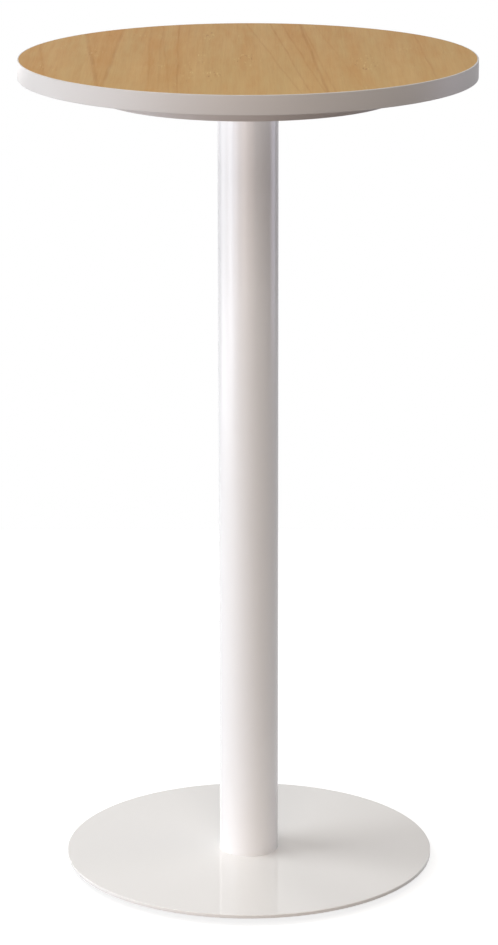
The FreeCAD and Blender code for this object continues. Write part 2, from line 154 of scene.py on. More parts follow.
class DiscScrewSettings(bpy.types.PropertyGroup):
    """Countersunk chipboard screws that hold the support disc to the tabletop."""

    head: length("Head", "Width of the head", 8.8)
    shank: length("Shank", "Width over the thread", 4.5)
    pitch: length("Pitch", "Pitch of the thread", 2.2)
    reach: length("Length", "Length from the head's face", 40.0)
    point: length("Point", "Length of the tapered point", 5.0)
    tip: length("Tip", "Width of the point's end", 0.8)
    recess: length("Recess", "Width of the six-lobed recess", 3.6)
    recess_depth: length("Recess depth", "Depth of the recess", 1.4)


class BaseBoltSettings(bpy.types.PropertyGroup):
    """Countersunk bolts that hold the base plate to the column's foot plug."""

    head: length("Head", "Width of the head", 15.2)
    shank: length("Shank", "Width over the thread", 8.0)
    pitch: length("Pitch", "Pitch of the thread", 1.25)
    reach: length("Length", "Length from the head's face", 16.0)
    socket: length("Socket", "Width across the socket's flats", 5.0)
    socket_depth: length("Socket depth", "Depth of the socket", 3.0)


class GlideSettings(bpy.types.PropertyGroup):
    """Levelling glides: a stud, a nut that carries the foot, and a nylon foot."""

    circle: length("Circle", "Radius of the circle of glides", 210.0)
    stud: length("Stud", "Width over the stud's thread", 8.0)
    pitch: length("Pitch", "Pitch of the thread", 1.25)
    collar: length("Collar", "Width of the stud's welded collar", 10.0)
    collar_height: length("Collar height", "Height of the collar", 1.0)
    bore: length("Bore", "Width of the nut's bore", 8.1)
    nut: length("Nut", "Width across the nut's flats", 17.0)
    nut_head: length("Nut head", "Height of the nut's six-sided head", 3.9)
    neck: length("Neck", "Width of the nut's neck", 14.0)
    nut_flange: length("Nut flange", "Width of the nut's flange in the foot", 16.0)
    nut_flange_height: length("Nut flange height", "Height of the nut's flange", 1.4)


class StudioSettings(bpy.types.PropertyGroup):
    """Camera and light."""

    focal: number("Focal length", "Camera's lens, in mm", 139.02, unit="CAMERA")
    distance: length("Distance", "Camera's distance from the column", 4717.5)
    height: length("Height", "Camera above the floor", 1850.7)
    side: length("Side", "Camera beside the column", 2.33)
    tilt: rotation("Tilt", "Camera below level", 0.26913)
    roll: rotation("Roll", "Camera's turn after its tilt", 0.00125)
    brightness: number("Brightness", "Share of the lamps' full power", 1.0, min=0.01)
    mirrored: tint("Mirrored", "Colour that gloss mirrors all round", (0.87, 0.87, 0.88))
    floor_reach: length("Floor reach", "Half the side of the square floor", 1600.0)


# --- Surfaces ----------------------------------------------------------------------------------------


def rounded_outline(corners, radii, steps=6):
    """Outline with its corners rounded.

    Each corner is replaced by a circular arc that touches both of its sides: the arc's centre lies on the
    corner's bisector, at radius / sin(half the corner's angle).
    """
    points = np.asarray(corners, dtype=float)
    outline = []
    for here, before, after, radius in zip(points, np.roll(points, 1, 0), np.roll(points, -1, 0), radii):
        if radius <= 0:
            outline.append(here[None, :])
            continue
        back = (before - here) / np.linalg.norm(before - here)
        forth = (after - here) / np.linalg.norm(after - here)
        half = math.acos(np.clip(back @ forth, -1, 1)) / 2
        bisector = (back + forth) / np.linalg.norm(back + forth)
        centre = here + bisector * radius / math.sin(half)
        start = here + back * radius / math.tan(half) - centre
        end = here + forth * radius / math.tan(half) - centre
        share = np.linspace(0, 1, steps + 1)[:, None]
        angle = math.pi - 2 * half
        arc = (np.sin((1 - share) * angle) * start + np.sin(share * angle) * end) / math.sin(angle)
        outline.append(centre + arc)
    return np.concatenate(outline)


def even_angles(steps):
    """Angles of the steps of one full turn."""
    return np.arange(steps) * TURN / steps


def six_sided(steps):
    """Hexagon one unit from its flats: 1 / cos(angle from the middle of the nearest flat)."""
    return 1 / np.cos(even_angles(steps) % (TURN / 6) - TURN / 12)


def six_lobed(steps, lobe=0.14):
    """Round star of a six-lobed recess: 1 - lobe + lobe cos 6u."""
    return 1 - lobe + lobe * np.cos(6 * even_angles(steps))


def rows(outline, steps, shape=1.0):
    """Rows of a turned outline: the radius, times a factor of the angle, and the level at each grid point."""
    radius, level = np.asarray(outline, dtype=float).T
    return np.outer(radius, np.broadcast_to(shape, steps)), np.outer(level, np.ones(steps))


def thread(crest, depth, pitch, low, high, steps, sharpness=1.0, rows_per_pitch=8):
    """Rows of a right-hand thread from level low to level high.

    The radius is crest - depth (1 - |2f - 1| ** sharpness), where f is the fraction of z / pitch - u / turn,
    and the depth fades to nothing over one pitch at both ends. A larger sharpness thins the ridge.
    """
    count = math.ceil(rows_per_pitch * (high - low) / pitch) + 1
    level = np.linspace(low, high, count)[:, None]
    fraction = (level / pitch - np.arange(steps) / steps) % 1.0
    fade = np.clip(np.minimum(level - low, high - level) / pitch, 0, 1)
    radius = crest - depth * fade * (1 - np.abs(2 * fraction - 1) ** sharpness)
    return radius, np.broadcast_to(level, radius.shape)


def turned(*parts, angle=None):
    """Grid of points round the Z axis, (r cos u, r sin u, z): rows follow the outline and columns go round.

    The outline runs outwards below, upwards outside and inwards above, so that faces point outwards.
    """
    radius = np.concatenate([part[0] for part in parts])
    level = np.concatenate([part[1] for part in parts])
    if angle is None:
        angle = even_angles(radius.shape[1])
    return np.stack([radius * np.cos(angle), radius * np.sin(angle), level], axis=-1)


def shell(grid, ring=False):
    """Points, quads and triangles of a grid whose columns meet round the axis.

    A ring's rows meet as well. Otherwise its first and last rows are the two poles, a single point each.
    """
    count, steps = grid.shape[:2]
    column = np.arange(steps)
    beside = (column + 1) % steps
    if ring:
        points = grid.reshape(-1, 3)
        row = np.arange(count)[:, None]
        above = (row + 1) % count
        fans = np.empty((0, 3), dtype=int)
    else:
        points = np.concatenate([grid[1:-1].reshape(-1, 3), grid[0, :1], grid[-1, :1]])
        row = np.arange(count - 3)[:, None]
        above = row + 1
        last = (count - 3) * steps
        lower, upper = np.full(steps, len(points) - 2), np.full(steps, len(points) - 1)
        lower_fan = np.stack([lower, beside, column], axis=-1)
        upper_fan = np.stack([upper, last + column, last + beside], axis=-1)
        fans = np.concatenate([lower_fan, upper_fan])
    quads = np.stack(
        [row * steps + column, row * steps + beside, above * steps + beside, above * steps + column], axis=-1
    )
    return points, quads.reshape(-1, 4), fans


def set_round(part, circle, count):
    """Copies of a shell on a circle: each is moved out along X, then turned by its share of a full turn."""
    points, quads, fans = part
    copies = []
    for angle in even_angles(count):
        cos, sin = math.cos(angle), math.sin(angle)
        turn = np.array([[cos, sin, 0], [-sin, cos, 0], [0, 0, 1]])
        copies.append(((points + (circle, 0, 0)) @ turn, quads, fans))
    return copies


def put_mesh(name, shells, crease=35):
    """New mesh object at the origin, made of shells and smooth but for edges over the crease, in degrees."""
    points = np.concatenate([part[0] for part in shells])
    before = np.cumsum([0] + [len(part[0]) for part in shells[:-1]])
    quads = np.concatenate([part[1] + offset for part, offset in zip(shells, before)])
    fans = np.concatenate([part[2] + offset for part, offset in zip(shells, before)])
    mesh = bpy.data.meshes.new(name)
    mesh.from_pydata(points.tolist(), [], quads.tolist() + fans.tolist())
    mesh.polygons.foreach_set("use_smooth", np.ones(len(mesh.polygons), dtype=bool))
    mesh.set_sharp_from_angle(angle=math.radians(crease))
    mesh.update()
    piece = bpy.data.objects.new(name, mesh)
    bpy.context.scene.collection.objects.link(piece)
    return piece


def disc_outline(radius, low, high, edge):
    """Outline of a disc from its lower pole to its upper pole, with its upper rim rounded."""
    return rounded_outline([(0, low), (radius, low), (radius, high), (0, high)], [0, 0, edge, 0])


def ring_outline(outer, inner, low, high, edge=0.0):
    """Outline of a ring with both outer rims rounded."""
    return rounded_outline([(inner, low), (outer, low), (outer, high), (inner, high)], [0, edge, edge, 0])


# --- Shader expressions ------------------------------------------------------------------------------


class Value:
    """A shader socket that can be used in a Python expression."""

    def __init__(self, shader, socket):
        self.shader = shader
        self.socket = socket

    def maths(self, operation, *values):
        return self.shader.node("ShaderNodeMath", {"operation": operation}, dict(enumerate(values)))

    def __add__(self, other):
        return self.maths("ADD", self, other)

    __radd__ = __add__

    def __sub__(self, other):
        return self.maths("SUBTRACT", self, other)

    def __rsub__(self, other):
        return self.maths("SUBTRACT", other, self)

    def __mul__(self, other):
        return self.maths("MULTIPLY", self, other)

    __rmul__ = __mul__

    def __abs__(self):
        return self.maths("ABSOLUTE", self)

    def larger(self, other):
        return self.maths("MAXIMUM", self, other)

    def smooth(self, low, high):
        """A smooth step from 0 at low to 1 at high; low may lie above high."""
        settings = {"interpolation_type": "SMOOTHSTEP"}
        inputs = {"Value": self, "From Min": low, "From Max": high}
        return self.shader.node("ShaderNodeMapRange", settings, inputs)


class Shader:
    """A node tree that grows by expressions."""

    def __init__(self, tree):
        self.tree = tree
        tree.nodes.clear()

    def node(self, kind, settings=None, inputs=None, output=0):
        """Add a node: its settings first, then the values or links of its sockets. Returns one output."""
        made = self.tree.nodes.new(kind)
        for name, setting in (settings or {}).items():
            setattr(made, name, setting)
        for name, given in (inputs or {}).items():
            if isinstance(given, Value):
                self.tree.links.new(given.socket, made.inputs[name])
            else:
                made.inputs[name].default_value = given
        return Value(self, made.outputs[output]) if made.outputs else None

    def place(self):
        """Object coordinates, in metres."""
        return self.node("ShaderNodeTexCoord", output="Object")

    def axes(self, vector):
        """The three numbers of a vector."""
        parts = self.node("ShaderNodeSeparateXYZ", inputs={0: vector}).socket.node.outputs
        return [Value(self, part) for part in parts]

    def vector(self, x, y, z=0.0):
        """A vector made of three numbers."""
        return self.node("ShaderNodeCombineXYZ", inputs={0: x, 1: y, 2: z})

    def noise(self, vector, scale=1.0, detail=2.0, roughness=0.5):
        """Smooth noise about 0.5."""
        inputs = {"Vector": vector, "Scale": scale, "Detail": detail, "Roughness": roughness}
        return self.node("ShaderNodeTexNoise", inputs=inputs)

    def mix(self, factor, first, second):
        """Colour between first, where the factor is 0, and second, where it is 1."""
        return self.node("ShaderNodeMix", {"data_type": "RGBA"}, {0: factor, 6: first, 7: second}, output=2)

    def bump(self, height, distance, strength):
        """Normal of a surface with a relief whose height of 1 stands for a distance in metres."""
        inputs = {"Height": height, "Distance": distance, "Strength": strength}
        return self.node("ShaderNodeBump", inputs=inputs)

    def seen(self, mirrored):
        """White to the camera, also through glass, a given colour to gloss, and black to all other light."""
        kinds = ("Camera", "Glossy", "Transmission")
        camera, gloss, through = (self.node("ShaderNodeLightPath", output=f"Is {kind} Ray") for kind in kinds)
        return self.mix(camera.larger(through), self.mix(gloss, BLACK, rgba(mirrored)), WHITE)

    def surface(self, **inputs):
        """Finish with a Principled shader; an underscore in an input's name stands for a space."""
        given = {name.replace("_", " "): value for name, value in inputs.items()}
        principled = self.node("ShaderNodeBsdfPrincipled", inputs=given)
        self.node("ShaderNodeOutputMaterial", inputs={"Surface": principled})


def new_finish(name):
    """Shader of a new material."""
    material = bpy.data.materials.new(name)
    material.use_nodes = True
    return Shader(material.node_tree)


def rgba(colour, share=1.0):
    """Colour with its opacity, darkened to a share of its brightness."""
    return (*(share * part for part in colour[:3]), 1.0)


def wear(piece, finish):
    """Give a piece or a CAD node one of the finishes, by name."""
    piece.data.materials.clear()
    piece.data.materials.append(bpy.data.materials[finish])


# --- Finishes ----------------------------------------------------------------------------------------

# Bands and lines of the oak figure: where each crosses the middle of the top, along X in mm, its slant, in mm
# towards +X per mm towards the back, its half width in mm and its strength.
WARM_BANDS = (
    (-284, -0.04, 16, 0.70),
    (-102, -0.02, 26, 0.35),
    (0, -0.03, 8, 0.35),
    (78, -0.06, 12, 0.45),
    (130, -0.06, 16, 0.35),
    (228, -0.05, 22, 0.30),
    (288, -0.05, 8, 0.30),
)
GRAIN_LINES = (
    (-268, -0.068, 1.4, 0.40),
    (-204, -0.070, 2.0, 0.90),
    (-175.5, 0.025, 1.8, 0.80),
    (-128, -0.015, 1.2, 0.35),
    (-114, -0.010, 1.2, 0.40),
    (-107, -0.035, 1.2, 0.30),
    (-91, -0.013, 1.0, 0.80),
    (32, -0.115, 1.1, 0.55),
    (54, -0.080, 1.1, 0.70),
    (71, -0.085, 1.1, 0.60),
    (84.5, -0.048, 1.5, 1.00),
    (91, -0.060, 1.1, 0.50),
    (119, -0.100, 1.0, 0.30),
    (231, -0.036, 1.1, 0.60),
)
# The warm figure that comes to a point at the front lies between the second and the third line.
FIGURE_EDGES = GRAIN_LINES[1:3]
FIGURE_WARMTH = 0.65
# Middle of each cluster of flecks, and its half width and half length, in mm.
FLECK_CLUSTERS = (
    (-2, -25, 20, 80),
    (150, -50, 24, 90),
    (-76, -136, 10, 60),
    (-52, 179, 10, 70),
    (-45, -140, 16, 60),
    (-62, 6, 8, 50),
)
# Where soft edges begin and end: a band's from its half width outwards, the figure's from its edges inwards,
# and those of lines and clusters as shares of their half sizes.
BAND_FADE = (-5 * MM, 12 * MM)
FIGURE_FADE = (-1 * MM, 3 * MM)
LINE_FADE = (0.3, 2.0)
CLUSTER_FADE = (0.4, 1.3)
# How far the grain wanders from side to side, and how many times a metre it does so along X and Y.
WANDER = 7 * MM
WANDER_NOISE = (8, 6)
# Layers of noise: how many times a metre each varies across and along the grain, its level in the noise and
# its detail. Streaks give their strength as well. Flecks follow X and Y, all the others the wandering grain.
FLECKS = (330, 35, 9, 1)
HUES = (34, 3, 6, 2)
BREAKS = (30, 16, 5, 2)
CLUMPS = (18, 9, 3, 2)
PORES = (1500, 70, 2, 2)
FIBRES = (1100, 18, 0, 3)
WARM_STREAKS = ((26, 2.2, 7, 3, 1.3), (60, 3, 1, 2, 1.4), (170, 6, 4, 2, 1.1), (80, 14, 2, 2, 1.3))
DARK_STREAKS = ((420, 6, 3, 2, 0.42), (*FIBRES, 0.30), (170, 4, 8, 2, 0.20))


class Grain:
    """The wood's figure over its coordinates in metres: x, y, and across, which is x moved by slow noise."""

    def __init__(self, shader):
        self.shader = shader
        self.x, self.y, _ = shader.axes(shader.place())
        across, along = WANDER_NOISE
        bend = shader.noise(shader.vector(self.x * across, self.y * along)) - 0.5
        self.across = self.x + bend * WANDER

    def noise(self, across, along, level, detail):
        """Noise about 0 that is drawn out along the grain."""
        stretched = self.shader.vector(self.across * across, self.y * along, level)
        return self.shader.noise(stretched, detail=detail) - 0.5

    def streaks(self, layers):
        """Sum of several layers of noise, each times its strength."""
        return sum(self.noise(*layer) * strength for *layer, strength in layers)

    def off_line(self, middle, slant):
        """Distance across the grain from a slanted line, above 0 on its right."""
        return self.across - (self.y * slant + middle * MM)

    def off_centre(self, x, y, half_width, half_length):
        """Distance from the middle of a lozenge, 1 on its outline."""
        beside = abs(self.x - x * MM) * (1 / (half_width * MM))
        return beside + abs(self.y - y * MM) * (1 / (half_length * MM))

    def warmth(self):
        """How warm the wood is: streaks, bands and the figure between two lines."""
        core, rim = BAND_FADE
        bands = sum(
            abs(self.off_line(middle, slant)).smooth(half * MM + rim, half * MM + core) * strength
            for middle, slant, half, strength in WARM_BANDS
        )
        left, right = (self.off_line(middle, slant) for middle, slant, _, _ in FIGURE_EDGES)
        outside, inside = FIGURE_FADE
        figure = left.smooth(outside, inside) * right.smooth(-outside, -inside)
        return self.streaks(WARM_STREAKS) + bands + figure * FIGURE_WARMTH

    def lines(self):
        """How strong the slanted grain lines are."""
        core, rim = LINE_FADE
        return sum(
            abs(self.off_line(middle, slant)).smooth(rim * half * MM, core * half * MM) * strength
            for middle, slant, half, strength in GRAIN_LINES
        )

    def clumps(self):
        """How densely pores and flecks lie: stray clumps, and lozenge-shaped clusters."""
        core, rim = CLUSTER_FADE
        clusters = sum(self.off_centre(*cluster).smooth(rim, core) for cluster in FLECK_CLUSTERS)
        return self.noise(*CLUMPS).smooth(0.06, 0.24) * 0.5 + clusters


def oak_decor(top):
    """Oak-look decor: light and cool wood, then warm wood, dark grain, flecks, and painted light that pales
    it towards the front and the right.
    """
    shader = new_finish("oak_decor")
    grain = Grain(shader)
    warmth, lines, clumps = grain.warmth(), grain.lines(), grain.clumps()
    hue = grain.noise(*HUES).smooth(-0.25, 0.25)
    whole = grain.noise(*BREAKS).smooth(-0.20, 0.10)
    pores = grain.noise(*PORES).smooth(0.12, 0.24)
    fibres = grain.noise(*FIBRES)
    across, along, level, detail = FLECKS
    flecks = shader.noise(shader.vector(grain.x * across, grain.y * along, level), detail=detail)

    dark_lines = lines * (whole * 0.22 + 0.05)
    dark_pores = pores * (clumps * 0.16 + 0.10)
    dark_flecks = flecks.smooth(0.38, 0.28) * clumps * 0.70
    pale_flecks = flecks.smooth(0.60, 0.72) * clumps * 0.60
    dark = grain.streaks(DARK_STREAKS) + dark_lines + dark_pores + dark_flecks
    # Painted light: a share that grows towards the front (-Y) and the right (+X) and pales the wood there, in
    # place of the lamps' light.
    painted_light_share = grain.x * 0.22 - grain.y * 0.32 + 0.05

    colour = shader.mix(hue, rgba(top.wood_light), rgba(top.wood_cool))
    colour = shader.mix((warmth + lines * 0.6).smooth(-0.7, 1.45), colour, rgba(top.wood_warm))
    colour = shader.mix(dark.smooth(-0.20, 1.0), colour, rgba(top.wood_dark))
    colour = shader.mix(pale_flecks, colour, rgba(top.wood_fleck))
    colour = shader.mix(painted_light_share, colour, rgba(top.wood_painted_light))
    shader.surface(
        Base_Color=colour,
        Roughness=fibres * 0.10 + 0.58,
        Normal=shader.bump(fibres * 0.5 - pores, distance=0.04 * MM, strength=0.6),
        Specular_IOR_Level=0.12,
    )


def white_plastic(name, colour, roughness, grain_size, depth):
    """White plastic or laminate with a very fine grain and a faint unevenness in tone."""
    shader = new_finish(name)
    place = shader.place()
    tone = shader.noise(place, scale=9.0, detail=3.0)
    grain = shader.noise(place, scale=1 / grain_size)
    shader.surface(
        Base_Color=shader.mix(tone * 0.8, rgba(colour), rgba(colour, share=0.95)),
        Roughness=(tone - 0.5) * 0.06 + roughness,
        Normal=shader.bump(grain, depth, strength=0.5),
    )


def powder_coat(name, colour, roughness, gloss):
    """White powder coat: smooth and glossy, with a fine orange peel."""
    shader = new_finish(name)
    place = shader.place()
    tone = shader.noise(place, scale=4.0)
    peel = shader.noise(place, scale=420.0, roughness=0.4)
    shader.surface(
        Base_Color=shader.mix(tone * 0.7, rgba(colour), rgba(colour, share=0.975)),
        Roughness=(tone - 0.5) * 0.03 + roughness,
        Normal=shader.bump(peel, distance=0.02 * MM, strength=0.4),
        Specular_IOR_Level=gloss,
    )


def particleboard(top):
    """Raw particleboard: chips of several tones pressed flat, with dark dust between them."""
    shader = new_finish("particleboard")
    place = shader.place()
    chips = shader.node("ShaderNodeTexVoronoi", {"feature": "F1"}, {"Vector": place, "Scale": 420.0}, "Color")
    tone = shader.node("ShaderNodeRGBToBW", inputs={0: chips})
    dust = shader.noise(place, scale=900.0, detail=3.0)
    colour = shader.mix(tone, rgba(top.chip), rgba(top.chip, share=1.45))
    shader.surface(
        Base_Color=shader.mix(dust.smooth(0.55, 0.75) * 0.5, colour, rgba(top.chip, share=0.45)),
        Roughness=tone * 0.10 + 0.80,
        Normal=shader.bump(tone + dust, distance=0.2 * MM, strength=0.6),
    )


def bare_metal(name, colour, roughness):
    """Plated or turned metal with fine turning marks and slight stains."""
    shader = new_finish(name)
    place = shader.place()
    stain = shader.noise(place, scale=160.0, detail=3.0)
    marks = shader.noise(place, scale=2500.0)
    shader.surface(
        Base_Color=shader.mix(stain, rgba(colour), rgba(colour, share=0.82)),
        Metallic=1.0,
        Roughness=(stain - 0.5) * 0.15 + roughness,
        Normal=shader.bump(marks, distance=0.02 * MM, strength=0.4),
    )


class TABLE_OT_finishes(bpy.types.Operator):
    """Make every finish of the table"""

    bl_idname = "table.finishes"
    bl_label = "Finishes"

    def execute(self, context):
        top = context.scene.table_top
        metal = context.scene.table_metal
        oak_decor(top)
        # The disc's edging is the tabletop's white with painted shade in its colour.
        for name, colour in (("white_edging", top.edging), ("painted_shade_disc_edging", top.shaded_disc_edging)):
            white_plastic(name, colour, roughness=0.42, grain_size=0.9 * MM, depth=0.02 * MM)
        white_plastic("white_laminate", top.laminate, roughness=0.50, grain_size=0.5 * MM, depth=0.03 * MM)
        white_plastic("nylon", metal.nylon, roughness=0.38, grain_size=0.6 * MM, depth=0.03 * MM)
        powder_coat("column_powder", metal.column_powder, roughness=0.22, gloss=0.85)
        powder_coat("base_powder", metal.base_powder, roughness=0.045, gloss=0.50)
        particleboard(top)
        bare_metal("zinc_plate", metal.zinc, roughness=0.34)
        bare_metal("brass", metal.brass, roughness=0.28)
        return {"FINISHED"}


# --- Tabletop and support disc -----------------------------------------------------------------------


def mount(piece, node, finish, body="table"):
    """Dress a piece and put it in the place of a CAD node, on that node's body."""
    wear(piece, finish)
    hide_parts(node)
    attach(piece, body)


class TABLE_OT_decor_sheet(bpy.types.Operator):
    """Lay the oak-look sheet on the tabletop"""

    bl_idname = "table.decor_sheet"
    bl_label = "Decor sheet"

    def execute(self, context):
        top = context.scene.table_top
        node = "tabletop_decor_laminate"
        outline = disc_outline(radius_of(node), *levels_of(node), top.sheet_edge)
        piece = put_mesh("decor_sheet", [shell(turned(rows(outline, top.segments)))])
        mount(piece, node, "oak_decor")
        return {"FINISHED"}


SEAM_STEPS = 13
SEAM_REACH = 3      # seam widths, each way, over which those steps lie


def banded_board(board, edge, finish, top):
    """Edge band round a board: a turned ring with rounded rims and a butt seam at the back.

    Across the seam the outer face dips by depth exp(-(distance / width) ** 2), and the steps are close there.
    """
    node = f"{board}_edge_band"
    outer, inner = radius_of(node), radius_of(f"{board}_core")
    outline = ring_outline(outer, inner, *levels_of(node), edge)
    even = even_angles(top.segments)
    reach = SEAM_REACH * top.seam_width / outer
    seam = BACK + np.linspace(-reach, reach, SEAM_STEPS)
    angle = np.sort(np.concatenate([even[abs(even - BACK) > reach], seam]))
    radius, level = rows(outline, len(angle))
    dip = top.seam_depth * np.exp(-(((angle - BACK) * outer / top.seam_width) ** 2))
    radius = radius - dip * (radius - inner) / (outer - inner)
    piece = put_mesh(f"{board}_edging", [shell(turned((radius, level), angle=angle), ring=True)])
    mount(piece, node, finish)


class TABLE_OT_edge_bands(bpy.types.Operator):
    """Wrap the white edge bands round the tabletop and the support disc, whose band is darkened by painted
    shade
    """

    bl_idname = "table.edge_bands"
    bl_label = "Edge bands"

    def execute(self, context):
        top = context.scene.table_top
        banded_board("tabletop", top.edge_radius, "white_edging", top)
        # The disc's band wears the white edging darkened by painted shade.
        banded_board("support_disc", top.disc_edge_radius, "painted_shade_disc_edging", top)
        return {"FINISHED"}


class TABLE_OT_boards(bpy.types.Operator):
    """Finish the boards' cores and white laminates, which keep their own solids"""

    bl_idname = "table.boards"
    bl_label = "Boards"

    def execute(self, context):
        finishes = {
            "tabletop_core": "particleboard",
            "tabletop_backing_laminate": "white_laminate",
            "support_disc_core": "particleboard",
            "support_disc_upper_laminate": "white_laminate",
            "support_disc_lower_laminate": "white_laminate",
        }
        for node, finish in finishes.items():
            wear(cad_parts[node], finish)
        return {"FINISHED"}


# --- Column and base ---------------------------------------------------------------------------------


class TABLE_OT_column(bpy.types.Operator):
    """Stand the white tube between the base and the flange"""

    bl_idname = "table.column"
    bl_label = "Column"

    def execute(self, context):
        node = "column_tube"
        steps = context.scene.table_metal.segments
        inner = radius_of("column_foot_plug")
        outline = ring_outline(radius_of(node), inner, *levels_of(node))
        piece = put_mesh("column", [shell(turned(rows(outline, steps)), ring=True)])
        mount(piece, node, "column_powder")
        for kept in ("column_foot_plug", "column_flange"):
            wear(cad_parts[kept], "column_powder")
        return {"FINISHED"}


RIPPLE_STEPS = 8
RIPPLE_DEPTH = 0.2      # share of the bead's bulge
BEAD_ROWS = 9


def flange_bead(tube, leg, level, metal):
    """Weld bead in the corner of tube and flange: a straight fillet whose face bulges in ripples.

    Across the bead, share t runs from the tube to the flange, and the face stands off the fillet's slope by
    bulge sin(pi t) (1 - depth + depth cos(ripples u + 2 t)).
    """
    ripples = round(TURN * (tube + leg / 2) / metal.bead_pitch)
    steps = RIPPLE_STEPS * ripples
    share = np.linspace(0, 1, BEAD_ROWS)[:, None]
    ripple = 1 - RIPPLE_DEPTH + RIPPLE_DEPTH * np.cos(ripples * even_angles(steps) + 2 * share)
    off = metal.bead_bulge * np.sin(math.pi * share) * ripple / math.sqrt(2)
    face = tube + leg * share + off, level - leg * (1 - share) - off
    return shell(turned(face, rows([(tube, level)], steps)), ring=True)


class TABLE_OT_welds(bpy.types.Operator):
    """Lay the weld beads under the flange and round the foot plug"""

    bl_idname = "table.welds"
    bl_label = "Weld beads"

    def execute(self, context):
        metal = context.scene.table_metal
        tube = radius_of("column_tube")
        flange = flange_bead(tube, radius_of("column_welds") - tube, levels_of("column_flange")[0], metal)
        plug, level, leg = radius_of("column_foot_plug"), levels_of("base_plate")[1], metal.plug_weld
        fillet = [(plug - leg, level), (plug, level), (plug, level + leg)]
        plug_bead = shell(turned(rows(fillet, metal.segments)), ring=True)
        piece = put_mesh("weld_beads", [flange, plug_bead], crease=50)
        mount(piece, "column_welds", "column_powder")
        return {"FINISHED"}


class TABLE_OT_base(bpy.types.Operator):
    """Finish the thin round base, which keeps its own solid"""

    bl_idname = "table.base"
    bl_label = "Base"

    def execute(self, context):
        wear(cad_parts["base_plate"], "base_powder")
        return {"FINISHED"}


# --- Hardware ----------------------------------------------------------------------------------------

FLANGE_SCREWS = 6
DISC_SCREWS = 6
BASE_BOLTS = 4
SCREW_STEPS = 36
DOME_ROWS = 8
END_CHAMFER = 0.6 * MM
THREAD_DEPTH = 0.6          # share of the pitch
WOOD_THREAD_DEPTH = 0.35    # share of the pitch, on screws for chipboard
WOOD_THREAD_SHARPNESS = 3


def lifted(grid, level):
    """The grid moved up by a level."""
    return grid + (0, 0, level)


def flange_screw(size):
    """Button head screw standing on its head: socket, quarter-ellipse dome, rim, thread and chamfered end."""
    crown, head, shank = size.crown / 2, size.head / 2, size.shank / 2
    dome_height = size.head_height - size.rim
    along = np.linspace(0, math.pi / 2, DOME_ROWS)
    dome = np.stack([crown + (head - crown) * np.sin(along), dome_height * (1 - np.cos(along))], axis=-1)
    end = size.head_height + size.reach
    socket = [(size.socket / 2, size.socket_depth), (size.socket / 2, 0)]
    depth = THREAD_DEPTH * size.pitch
    return turned(
        rows([(0, size.socket_depth)], SCREW_STEPS),
        rows(socket, SCREW_STEPS, six_sided(SCREW_STEPS)),
        rows(dome, SCREW_STEPS),
        rows([(head, size.head_height), (shank, size.head_height)], SCREW_STEPS),
        thread(shank, depth, size.pitch, size.head_height, end - END_CHAMFER, SCREW_STEPS),
        rows([(shank - END_CHAMFER, end), (0, end)], SCREW_STEPS),
    )


def countersunk_bolt(size):
    """Countersunk bolt standing on its head: socket, 90 degree cone, thread and chamfered end."""
    head, shank = size.head / 2, size.shank / 2
    cone = head - shank
    socket = [(size.socket / 2, size.socket_depth), (size.socket / 2, 0)]
    return turned(
        rows([(0, size.socket_depth)], SCREW_STEPS),
        rows(socket, SCREW_STEPS, six_sided(SCREW_STEPS)),
        rows([(head, 0), (shank, cone)], SCREW_STEPS),
        thread(shank, THREAD_DEPTH * size.pitch, size.pitch, cone, size.reach - END_CHAMFER, SCREW_STEPS),
        rows([(shank - END_CHAMFER, size.reach), (0, size.reach)], SCREW_STEPS),
    )


def chipboard_screw(size):
    """Chipboard screw standing on its head: six-lobed recess, 90 degree cone, sharp thread and long point."""
    head, shank = size.head / 2, size.shank / 2
    cone = head - shank
    recess = [(size.recess / 2, size.recess_depth), (size.recess / 2, 0)]
    depth, point = WOOD_THREAD_DEPTH * size.pitch, size.reach - size.point
    return turned(
        rows([(0, size.recess_depth)], SCREW_STEPS),
        rows(recess, SCREW_STEPS, six_lobed(SCREW_STEPS)),
        rows([(head, 0), (shank, cone)], SCREW_STEPS),
        thread(shank, depth, size.pitch, cone, point, SCREW_STEPS, WOOD_THREAD_SHARPNESS),
        rows([(size.tip / 2, size.reach), (0, size.reach)], SCREW_STEPS),
    )


def ring_of_screws(name, node, make, size, count):
    """Copies of a screw in the places of a CAD node's screws, whose heads reach the node's outer radius."""
    circle = radius_of(node) - size.head / 2
    screw = shell(lifted(make(size), levels_of(node)[0]))
    mount(put_mesh(name, set_round(screw, circle, count)), node, "zinc_plate")


class TABLE_OT_screws(bpy.types.Operator):
    """Drive the flange screws, the disc screws and the base bolts"""

    bl_idname = "table.screws"
    bl_label = "Screws and bolts"

    def execute(self, context):
        scene = context.scene
        flange, disc, base = scene.table_flange_screws, scene.table_disc_screws, scene.table_base_bolts
        ring_of_screws("flange_button_screws", "flange_screws", flange_screw, flange, FLANGE_SCREWS)
        ring_of_screws("chipboard_screws", "disc_screws", chipboard_screw, disc, DISC_SCREWS)
        ring_of_screws("countersunk_bolts", "base_bolts", countersunk_bolt, base, BASE_BOLTS)
        wear(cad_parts["threaded_inserts"], "brass")
        return {"FINISHED"}


# --- Glides ------------------------------------------------------------------------------------------

GLIDES = 6
GLIDE_STEPS = 72
COLLAR_ROUNDING = 0.35      # share of the collar's height
BORE_CHAMFER = 0.5 * MM
NUT_ROWS = 17
NUT_FACE = 0.97             # width of the head's round end faces, as a share of the width across its flats
NUT_CONE = math.radians(30)
